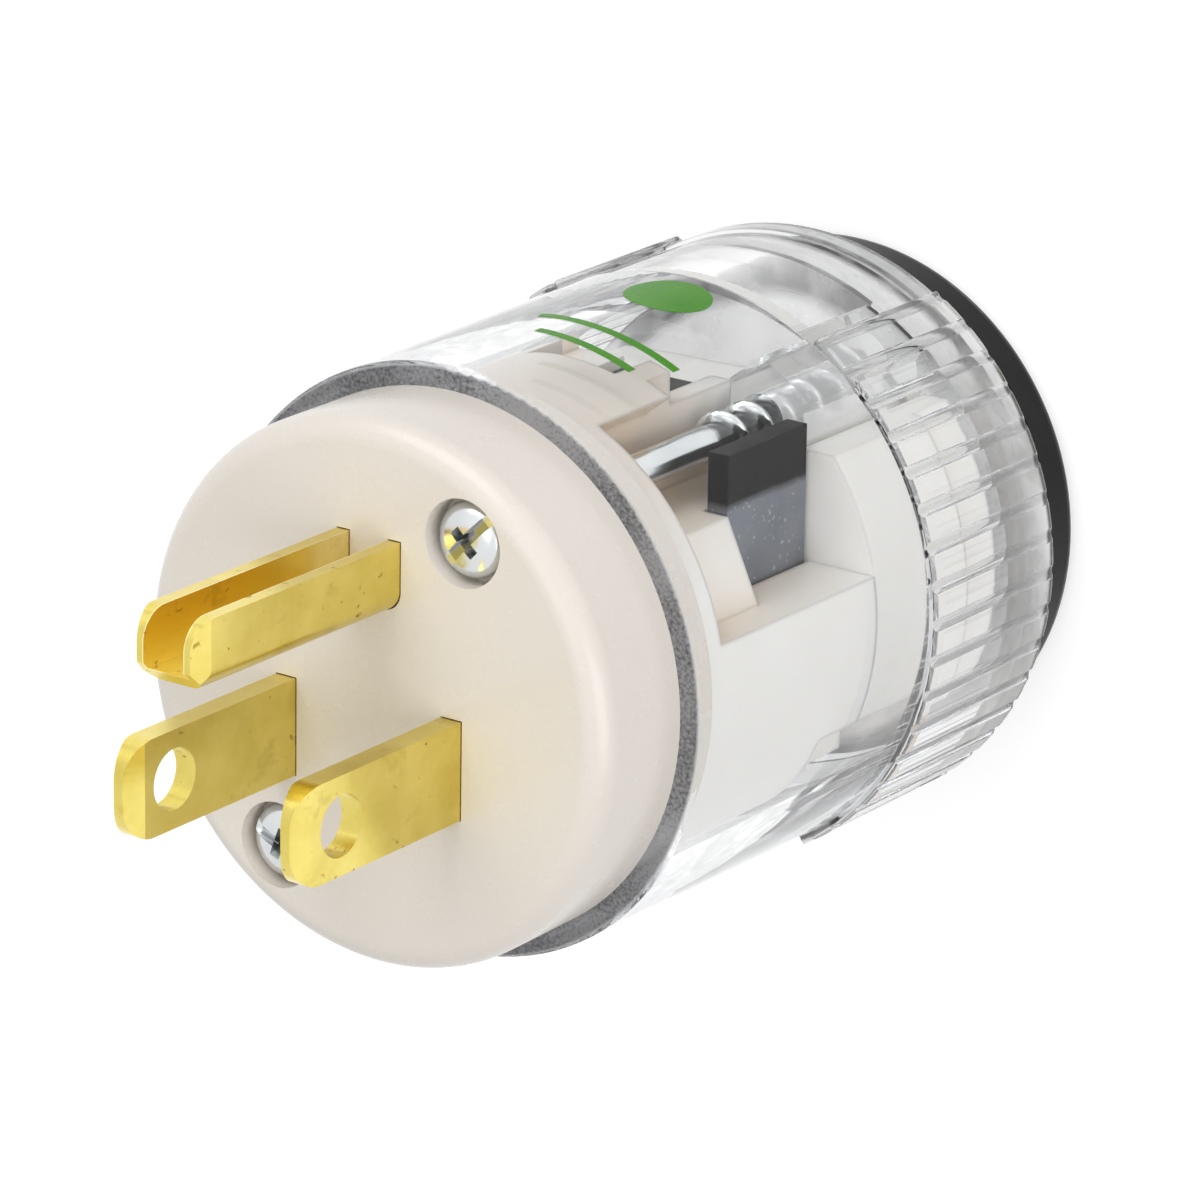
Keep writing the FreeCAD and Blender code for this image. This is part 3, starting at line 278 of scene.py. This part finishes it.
def dark_plate(name):
    """Oxidised steel plate, blue grey with fine dust; painted shade makes it near black towards its top edge.
    """
    mat, tree, bsdf = new_material(name)
    bsdf.inputs["Metallic"].default_value = 0.6
    bsdf.inputs["Specular IOR Level"].default_value = 0.15
    vec = coords(tree)
    x, y, z = place(tree)
    # Painted shade: near black above a wavy line towards the top edge
    level = maths(tree, "ADD", y, product(tree, noise(tree, vec, 300.0), 0.4))
    top = above(tree, level, 8.5, 9.1)
    dust = above(tree, noise(tree, vec, 2600.0, 1.0), 0.66, 0.72, 0.7)
    body = ramp(tree, noise(tree, vec, 260.0, 4.0), [(0.3, PLATE_TONES[0]), (0.7, PLATE_TONES[1])])
    body = mixed(tree, dust, body, PLATE_DUST)
    tree.links.new(mixed(tree, top, body, PLATE_TOP_PAINTED_SHADE), bsdf.inputs["Base Color"])
    tree.links.new(span(tree, noise(tree, vec, 700.0), 0.42, 0.58), bsdf.inputs["Roughness"])
    return mat


def screw_distance(tree, x, y):
    """Distance from the axis of the nearer assembly screw, in millimetres."""
    squares = []
    for sign in (1, -1):
        across = maths(tree, "SUBTRACT", x, sign * SCREW_AT[0])
        along = maths(tree, "SUBTRACT", y, sign * SCREW_AT[1])
        squares.append(maths(tree, "ADD", product(tree, across, across), product(tree, along, along)))
    return maths(tree, "SQRT", maths(tree, "MINIMUM", *squares))


ZINC_TONES = ((0.66, 0.69, 0.70), (0.80, 0.82, 0.83))
ZINC_PAINTED_SHADE = (0.16, 0.165, 0.17)


def zinc(name):
    """Zinc plated steel with painted shade: dark in the roots of the thread and in the recess of the head."""
    mat, tree, bsdf = new_material(name)
    bsdf.inputs["Metallic"].default_value = 1.0
    vec = coords(tree)
    x, y, z = place(tree)
    away = screw_distance(tree, x, y)
    # Painted shade: dark in the roots of the thread and in the recess of the head
    root = product(tree, below(tree, away, CORE + 0.08, CREST - 0.2),
                   below(tree, z, THREAD_TOP - 0.6, THREAD_TOP))
    recess = product(tree, above(tree, z, SEAT, SEAT + 0.1, 0.6),
                     below(tree, z, HEAD_TOP - 0.5, HEAD_TOP - 0.35), below(tree, away, 1.75, 1.85))
    tone = ramp(tree, noise(tree, vec, 320.0, 4.0), [(0.3, ZINC_TONES[0]), (0.7, ZINC_TONES[1])])
    tone = mixed(tree, largest(tree, root, recess), tone, ZINC_PAINTED_SHADE)
    tree.links.new(tone, bsdf.inputs["Base Color"])
    tree.links.new(span(tree, noise(tree, vec, 500.0), 0.14, 0.26), bsdf.inputs["Roughness"])
    bump(tree, noise(tree, vec, 900.0), bsdf, 0.1, 0.04 * MM)
    return mat


CLEAR_TONES = ((0.985, 0.988, 0.990), (0.993, 0.995, 0.996))
# Colours of the painted shade on the front end, in the grooves and on the end wall
FRONT_SHADE_TONES = ((0.060, 0.061, 0.066), (0.27, 0.27, 0.28))
GROOVE_SHADE_TONE = (0.30, 0.31, 0.33)
END_WALL_SHADE_TONE = (0.05, 0.05, 0.055)
WALL_RIM, REAR_RIM = (14.9, 16.0), (18.6, 19.0)
SHADE_INSIDE, SHADE_OUTSIDE, SHADE_RISE = (14.4, 15.4), (17.0, 17.3), (8.0, 12.5)
VIEW_SLOPE = 1.2


def clear(name):
    """Clear polycarbonate: a thin even tube, a grip that bends the view, matt end faces and hazy bosses."""
    mat, tree, thick = new_material(name)
    thin = tree.nodes.new("ShaderNodeBsdfPrincipled")
    vec = coords(tree)
    x, y, z = place(tree)
    radius = maths(tree, "SQRT", maths(tree, "ADD", product(tree, x, x), product(tree, y, y)))
    front = above(tree, z, TUBE_FRONT - 0.15, TUBE_FRONT - 0.02)
    boss = product(tree, below(tree, screw_distance(tree, x, y), BOSS_R + 0.03, BOSS_R + 0.1),
                   below(tree, z, BOSS_FRONT + 0.1, BOSS_FRONT + 0.2))
    end = below(tree, z, WALL_FRONT + 0.55, WALL_FRONT + 0.6)

    # Colour: nearly white, with painted shade: a dark grainy front end, grey grooves and a dark patch on the
    # end wall.
    glass = ramp(tree, noise(tree, vec, 90.0, 2.0), [(0.3, CLEAR_TONES[0]), (0.7, CLEAR_TONES[1])])
    # Painted shade: dark grey grain over the front end of the tube
    fine = maths(tree, "ADD", noise(tree, vec, 4200.0, 2.0), product(tree, noise(tree, vec, 170.0), 0.8))
    grain = ramp(tree, fine, [(0.62, FRONT_SHADE_TONES[0]), (1.0, FRONT_SHADE_TONES[1])])
    # Painted shade: grey in the grooves of the grip
    groove = product(tree, above(tree, radius, GROOVE_FLOOR - 0.24, GROOVE_FLOOR - 0.18),
                     below(tree, radius, GROOVE_FLOOR - 0.05, GROOVE_FLOOR + 0.15),
                     below(tree, z, GRIP_FRONT + 0.02, GRIP_FRONT + 0.05, 0.7))
    # Painted shade: a dark patch on the upper side of the end wall, between two radii
    end_wall_shade = product(tree, above(tree, radius, *SHADE_INSIDE), below(tree, radius, *SHADE_OUTSIDE), end,
                    above(tree, y, *SHADE_RISE, 0.95),
                    span(tree, noise(tree, vec, 300.0, 4.0), 0.45, 1.0, 0.35, 0.6))
    colour = mixed(tree, front, glass, grain)
    colour = mixed(tree, groove, colour, GROOVE_SHADE_TONE)
    colour = mixed(tree, end_wall_shade, colour, END_WALL_SHADE_TONE)

    # Matt faces: both sides of the end wall, apart from their outer rims. Haze: the bosses and the front end.
    wall = product(tree, end, below(tree, radius, *WALL_RIM))
    rear = product(tree, below(tree, z, HOUSING_REAR + 0.1, HOUSING_REAR + 0.15),
                   below(tree, radius, *REAR_RIM), span(tree, y, 0.5, 0.95, -9.0, -1.0))
    cloud = span(tree, noise(tree, vec, 260.0), 0.5, 0.85, 0.35, 0.65)
    matt = largest(tree, product(tree, largest(tree, wall, rear), cloud), end_wall_shade)
    side = product(tree, boss, span(tree, z, 0.45, 0.06, BOSS_FRONT - 0.15, BOSS_FRONT - 0.05))
    haze = largest(tree, matt, side, product(tree, front, 0.75))
    clearness = maths(tree, "SUBTRACT", 1.0, haze)
    smooth = span(tree, noise(tree, vec, 700.0), 0.0, 0.03)
    rough = maths(tree, "ADD", smooth, product(tree, largest(tree, matt, front), 0.4))
    waves = bump(tree, noise(tree, vec, 160.0, 2.0), thick, 0.05, 0.3 * MM)
    tree.links.new(waves.outputs["Normal"], thin.inputs["Normal"])
    for shader in (thick, thin):
        tree.links.new(colour, shader.inputs["Base Color"])
        tree.links.new(rough, shader.inputs["Roughness"])
        tree.links.new(clearness, shader.inputs["Transmission Weight"])
    thick.inputs["IOR"].default_value = 1.5
    thin.inputs["IOR"].default_value = 1.05
    thin.inputs["Coat Weight"].default_value = 1.0
    thin.inputs["Coat IOR"].default_value = 1.18
    thin.inputs["Coat Roughness"].default_value = 0.02

    # The grip begins where a view that enters behind its front edge would leave the inner surface.
    depth = maths(tree, "SUBTRACT", TUBE_R + TUBE_DRAFT, radius)
    entry = maths(tree, "ADD", z, product(tree, depth, VIEW_SLOPE))
    grip = product(tree, below(tree, entry, GRIP_FRONT - 0.1, GRIP_FRONT + 0.1),
                   maths(tree, "SUBTRACT", 1.0, boss))
    body = shader_mix(tree, largest(tree, grip, wall), thin.outputs["BSDF"], thick.outputs["BSDF"])

    # Light on the inner pieces and on the floor passes straight through.
    light = tree.nodes.new("ShaderNodeLightPath")
    pass_through = tree.nodes.new("ShaderNodeBsdfTransparent")
    pass_through.inputs["Color"].default_value = (0.985, 0.988, 0.988, 1.0)
    lighting = largest(tree, light.outputs["Is Shadow Ray"], light.outputs["Is Diffuse Ray"])
    surface = shader_mix(tree, lighting, body, pass_through.outputs["BSDF"])
    absorption = tree.nodes.new("ShaderNodeVolumeAbsorption")
    absorption.inputs["Color"].default_value = (0.55, 0.57, 0.60, 1.0)
    absorption.inputs["Density"].default_value = 20.0
    out = next(node for node in tree.nodes if node.type == "OUTPUT_MATERIAL")
    tree.links.new(surface, out.inputs["Surface"])
    tree.links.new(absorption.outputs["Volume"], out.inputs["Volume"])
    return mat


IVORY = ((0.736, 0.686, 0.626), (0.744, 0.695, 0.637))
WHITE = ((0.885, 0.866, 0.832), (0.912, 0.896, 0.868))
# Colour of the painted shade in the creases of the white nylon
WHITE_CREASE_SHADE = (0.74, 0.50, 0.25)
BLACK = ((0.006, 0.005, 0.006), (0.012, 0.010, 0.011))
RUBBER = ((0.010, 0.010, 0.010), (0.020, 0.020, 0.020))
BRASS = ((0.70, 0.565, 0.120), (0.84, 0.70, 0.20))
BRASS_PITS = (0.30, 0.20, 0.03)
SCREW_BRASS = ((0.55, 0.40, 0.11), (0.66, 0.50, 0.17))
GREEN = ((0.05, 0.18, 0.05), (0.08, 0.25, 0.07))
GREEN_INK = ((0.050, 0.235, 0.006), (0.068, 0.280, 0.012))
materials = {
    "ivory_nylon": moulded("ivory_nylon", IVORY, (0.24, 0.30), scale=120.0, waviness=0.015),
    "white_nylon": moulded("white_nylon", WHITE, (0.28, 0.40), scale=160.0, subsurface=0.2, gloss=0.4,
                           edge=0.45, crease_shade=WHITE_CREASE_SHADE),
    "black_nylon": moulded("black_nylon", BLACK, (0.12, 0.24), gloss=0.12),
    "black_rubber": moulded("black_rubber", RUBBER, (0.45, 0.6), gloss=0.3),
    "brass_blade": metal("brass_blade", BRASS, (0.12, 0.30), BRASS_PITS),
    "brass_screw": metal("brass_screw", SCREW_BRASS, (0.25, 0.4)),
    "zinc_steel": zinc("zinc_steel"),
    "dark_steel": dark_plate("dark_steel"),
    "green_finish": metal("green_finish", GREEN, (0.25, 0.4)),
    "clear_polycarbonate": clear("clear_polycarbonate"),
}
green_ink = moulded("green_ink", GREEN_INK, (0.20, 0.32), scale=300.0, gloss=0.08)
slot_of = {s["node"]: s["material_slot"] for s in frame["record"]["subparts"]}
for name, obj in nodes.items():
    obj.data.materials.clear()
    obj.data.materials.append(materials[slot_of[name]])


# Softened edges on the blades and the ground pin
SHARP_ANGLE = math.radians(40)
for name in ("hot_blade", "neutral_blade", "ground_pin"):
    soft = nodes[name].modifiers.new("soft_edges", "BEVEL")
    soft.width = 0.22 * MM
    soft.segments = 3
    soft.limit_method = "ANGLE"
    soft.angle_limit = SHARP_ANGLE
    soft.use_clamp_overlap = True
    soft.harden_normals = True


def new_piece(name, mesh, material):
    obj = bpy.data.objects.new(name, mesh)
    scene.collection.objects.link(obj)
    obj.data.materials.append(material)
    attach(obj, "root")
    return obj


# Assembly screws: one turned surface each, with a coarse thread and a slotted cross recess
PITCH = 2.7
RIDGE_HALF, FLANK = 0.17, 0.11
POINT_LONG, POINT_SHARE = 1.6, 0.3
FADE_TOP, FADE_TIP, RUN_OUT = 0.9, 1.2, 1.2
AROUND = 48
THREAD_STEPS = 150
SHANK_ROWS = (30.0, 36.0, 42.0, 48.0, SEAT - 0.3, SEAT)
HEAD_PROFILE = ((0.95, 0.0), (1.0, 0.05), (1.0, 0.40), (0.985, 0.52), (0.94, 0.64),
                (0.86, 0.75), (0.74, 0.85), (0.58, 0.93), (0.40, 0.975), (0.20, 0.995))
SLOT_CUT = (3.0, 0.38, 0.62, 1.0)
CROSS_CUT = (1.25, 0.40, 1.15, 0.35)


def screw_radius(z, angle):
    """Radius of the threaded part at a height and an angle."""
    if z > THREAD_TOP:
        return SHANK
    taper = min(1.0, POINT_SHARE + (1 - POINT_SHARE) * (z - TIP) / POINT_LONG)
    turn = (z / PITCH - angle / (2 * math.pi)) % 1.0
    ridge = max(0.0, min(1.0, (RIDGE_HALF - abs(turn - 0.5)) / FLANK))
    fade = min(1.0, (THREAD_TOP - z) / FADE_TOP) * min(1.0, (z - TIP) / FADE_TIP)
    core = SHANK + (CORE - SHANK) * min(1.0, (THREAD_TOP - z) / RUN_OUT)
    return taper * core + max(0.0, fade) * ridge * (CREST - CORE)


def screw_rows():
    """Height and radius of each ring of points; no radius where the thread gives it."""
    rows = [(TIP + (THREAD_TOP - TIP) * i / THREAD_STEPS, None) for i in range(THREAD_STEPS + 1)]
    rows += [(z, SHANK) for z in SHANK_ROWS]
    rows += [(SEAT + (HEAD_TOP - SEAT) * share_z, HEAD * share_r) for share_r, share_z in HEAD_PROFILE]
    return rows


def screw_mesh():
    """A closed surface of revolution about Z whose thread is a helical ridge."""
    bm = bmesh.new()
    rings = []
    for z, radius in screw_rows():
        ring = []
        for k in range(AROUND):
            angle = 2 * math.pi * k / AROUND
            r = screw_radius(z, angle) if radius is None else radius
            ring.append(bm.verts.new((r * math.cos(angle) * MM, r * math.sin(angle) * MM, z * MM)))
        rings.append(ring)
    for low, high in zip(rings, rings[1:]):
        for k in range(AROUND):
            after = (k + 1) % AROUND
            bm.faces.new((low[k], low[after], high[after], high[k]))
    end = bm.verts.new((0, 0, TIP * MM))
    crown = bm.verts.new((0, 0, HEAD_TOP * MM))
    for k in range(AROUND):
        after = (k + 1) % AROUND
        bm.faces.new((rings[0][after], rings[0][k], end))
        bm.faces.new((rings[-1][k], rings[-1][after], crown))
    bm.normal_update()
    mesh = bpy.data.meshes.new("assembly_screw")
    bm.to_mesh(mesh)
    bm.free()
    return mesh


def wedge(half_long, half_wide, depth, taper, turn):
    """A box cutter for the recess, narrower at its floor, turned about Z."""
    bm = bmesh.new()
    corners = []
    for z, share in ((HEAD_TOP - depth, taper), (HEAD_TOP + 0.4, 1.0)):
        for sx, sy in ((-1, -1), (1, -1), (1, 1), (-1, 1)):
            x = sx * half_long * share
            y = sy * half_wide * (0.6 + 0.4 * share)
            corners.append(bm.verts.new((
                (x * math.cos(turn) - y * math.sin(turn)) * MM,
                (x * math.sin(turn) + y * math.cos(turn)) * MM, z * MM)))
    for face in ((3, 2, 1, 0), (4, 5, 6, 7), (0, 1, 5, 4), (1, 2, 6, 5), (2, 3, 7, 6), (3, 0, 4, 7)):
        bm.faces.new([corners[i] for i in face])
    mesh = bpy.data.meshes.new("recess")
    bm.to_mesh(mesh)
    bm.free()
    return mesh


def cut_recess(mesh, slot_turn):
    """Cuts the slot and the cross into the head and returns the new mesh."""
    blank = bpy.data.objects.new("screw_blank", mesh)
    scene.collection.objects.link(blank)
    cutters = []
    for cut, turn in ((SLOT_CUT, slot_turn), (CROSS_CUT, slot_turn + math.pi / 2), (CROSS_CUT, slot_turn)):
        cutter = bpy.data.objects.new("recess", wedge(*cut, turn))
        scene.collection.objects.link(cutter)
        carve = blank.modifiers.new("recess", "BOOLEAN")
        carve.operation = "DIFFERENCE"
        carve.solver = "EXACT"
        carve.object = cutter
        cutters.append(cutter)
    bpy.context.view_layer.update()
    shaped = bpy.data.meshes.new_from_object(blank.evaluated_get(bpy.context.evaluated_depsgraph_get()))
    for item in (blank, *cutters):
        bpy.data.objects.remove(item, do_unlink=True)
    return shaped


screws = bmesh.new()
for sign, slot_turn in ((1, math.radians(47)), (-1, math.radians(-20))):
    shaped = cut_recess(screw_mesh(), slot_turn)
    shaped.transform(Matrix.Translation((sign * SCREW_AT[0] * MM, sign * SCREW_AT[1] * MM, 0)))
    screws.from_mesh(shaped)
for face in screws.faces:
    face.smooth = True
for edge in screws.edges:
    edge.smooth = len(edge.link_faces) == 2 and edge.calc_face_angle(0) < SHARP_ANGLE
screw_data = bpy.data.meshes.new("threaded_assembly_screws")
screws.to_mesh(screw_data)
screws.free()
threaded = new_piece("threaded_assembly_screws", screw_data, materials["zinc_steel"])
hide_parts("assembly_screws")


# Print on the tube: a dot and two plain rules of green ink, each a thin curved skin
PRINT_LIFTS = (0.012, 0.045)
DOT_ANGLE, DOT_HEIGHT, DOT_R = 85.2, 24.4, 2.85
DISC_RINGS, DISC_AROUND, STRIP_STEPS = 8, 64, 40


def tube_radius(z):
    return TUBE_R + TUBE_DRAFT * (TUBE_FRONT - z) / (TUBE_FRONT - GRIP_FRONT)


def skin(name, points, faces):
    """Thin closed skin over points given as (angle in degrees, height)."""
    bm = bmesh.new()
    layers = []
    for lift in PRINT_LIFTS:
        layer = []
        for degrees, z in points:
            angle = math.radians(degrees)
            r = (tube_radius(z) + lift) * MM
            layer.append(bm.verts.new((r * math.cos(angle), r * math.sin(angle), z * MM)))
        layers.append(layer)
    inner, outer = layers
    for face in faces:
        bm.faces.new([outer[i] for i in face])
        bm.faces.new([inner[i] for i in reversed(face)])
    outer_set = set(outer)
    for edge in [e for e in bm.edges if len(e.link_faces) == 1 and e.verts[0] in outer_set]:
        a, b = edge.verts
        bm.faces.new((a, b, inner[outer.index(b)], inner[outer.index(a)]))
    bmesh.ops.recalc_face_normals(bm, faces=bm.faces[:])
    mesh = bpy.data.meshes.new(name)
    bm.to_mesh(mesh)
    bm.free()
    new_piece(name, mesh, green_ink)


def disc(centre_angle, centre_z, radius):
    """Points and faces of a round patch on the tube."""
    points = [(centre_angle, centre_z)]
    for i in range(1, DISC_RINGS + 1):
        reach = radius * i / DISC_RINGS
        for k in range(DISC_AROUND):
            turn = 2 * math.pi * k / DISC_AROUND
            arc = reach * math.cos(turn) / tube_radius(centre_z)
            points.append((centre_angle + math.degrees(arc), centre_z + reach * math.sin(turn)))
    faces = [(0, 1 + k, 1 + (k + 1) % DISC_AROUND) for k in range(DISC_AROUND)]
    for i in range(DISC_RINGS - 1):
        for k in range(DISC_AROUND):
            a = 1 + i * DISC_AROUND + k
            b = 1 + i * DISC_AROUND + (k + 1) % DISC_AROUND
            faces.append((a, a + DISC_AROUND, b + DISC_AROUND, b))
    return points, faces


def strip(start, end, low, high):
    """Points and faces of a plain bar round the tube."""
    points = []
    for i in range(STRIP_STEPS + 1):
        angle = start + (end - start) * i / STRIP_STEPS
        points.extend(((angle, low), (angle, high)))
    faces = [(2 * i, 2 * i + 2, 2 * i + 3, 2 * i + 1) for i in range(STRIP_STEPS)]
    return points, faces


skin("print_dot", *disc(DOT_ANGLE, DOT_HEIGHT, DOT_R))
skin("print_rule_rear", *strip(97.0, 65.0, 32.25, 32.95))
skin("print_rule_front", *strip(91.0, 69.0, 35.25, 35.95))


# Floor and world: both look plain white, and light the plug at a lower level
FLOOR_TONES = ((0.50, 0.50, 0.50), (0.52, 0.52, 0.52))
FLOOR_GLOW = 0.635
SKY_LOW, SKY_HIGH = 0.56, 0.74
PURE_WHITE = (1.0, 1.0, 1.0, 1.0)

bpy.ops.mesh.primitive_plane_add(size=4.0, location=(0, 0, 0))
floor = bpy.context.object
floor.name = "floor"
floor_mat, tree, bsdf = new_material("floor_white")
tone = ramp(tree, noise(tree, coords(tree), 12.0), [(0.3, FLOOR_TONES[0]), (0.7, FLOOR_TONES[1])])
tree.links.new(tone, bsdf.inputs["Base Color"])
bsdf.inputs["Roughness"].default_value = 0.9
bsdf.inputs["Specular IOR Level"].default_value = 0.1
bsdf.inputs["Emission Color"].default_value = PURE_WHITE
tree.links.new(product(tree, seen_directly(tree), FLOOR_GLOW), bsdf.inputs["Emission Strength"])
floor.data.materials.append(floor_mat)

world = bpy.data.worlds.new("studio")
scene.world = world
world.use_nodes = True
tree = world.node_tree
background = tree.nodes["Background"]
background.inputs["Color"].default_value = PURE_WHITE
direction = tree.nodes.new("ShaderNodeSeparateXYZ")
tree.links.new(tree.nodes.new("ShaderNodeTexCoord").outputs["Generated"], direction.inputs["Vector"])
sky = span(tree, direction.outputs["Y"], SKY_LOW, SKY_HIGH, -1.0, 1.0)
tree.links.new(largest(tree, seen_directly(tree), sky), background.inputs["Strength"])


# Lamps
LAMP_AIM = Vector((0, 0, 0.04))


def lamp(name, spot, size, power):
    data = bpy.data.lights.new(name, "AREA")
    data.shape = "RECTANGLE"
    data.size, data.size_y = size
    data.energy = power
    obj = bpy.data.objects.new(name, data)
    scene.collection.objects.link(obj)
    obj.location = spot
    obj.rotation_euler = (LAMP_AIM - Vector(spot)).to_track_quat("-Z", "Y").to_euler()


lamp("lamp_up", (-0.10, 0.55, 0.35), (0.5, 0.4), 1.6)
lamp("lamp_front", (0.10, 0.15, 0.75), (0.4, 0.4), 0.5)
lamp("lamp_side", (0.60, -0.05, 0.30), (0.4, 0.5), 1.6)


# Camera at the photograph's angle, as fitted to a picture of 1200 by 1200 points
PHOTO_WIDE = 1200.0
FOCAL_LENGTH, CENTRE_X, CENTRE_Y = 6764.07, 607.888, 584.915
SENSOR = 36.0

cam_data = bpy.data.cameras.new("camera")
cam = bpy.data.objects.new("camera", cam_data)
scene.collection.objects.link(cam)
right = Vector((0.8099, 0.0161, -0.5863)).normalized()
forward = Vector((-0.5509, -0.3224, -0.7698)).normalized()
up = right.cross(forward)
rotation = Matrix((right, up, -forward)).transposed().to_4x4()
cam.matrix_world = Matrix.Translation((0.2371, 0.13934, 0.35945)) @ rotation
cam_data.sensor_width = SENSOR
cam_data.lens = FOCAL_LENGTH / PHOTO_WIDE * SENSOR
cam_data.shift_x = -(CENTRE_X - PHOTO_WIDE / 2) / PHOTO_WIDE
cam_data.shift_y = (CENTRE_Y - PHOTO_WIDE / 2) / PHOTO_WIDE
cam_data.clip_start = 0.01
scene.camera = cam

scene.view_settings.view_transform = "Standard"
scene.cycles.max_bounces = 16
scene.cycles.glossy_bounces = 8
scene.cycles.transmission_bounces = 14
scene.cycles.transparent_max_bounces = 12
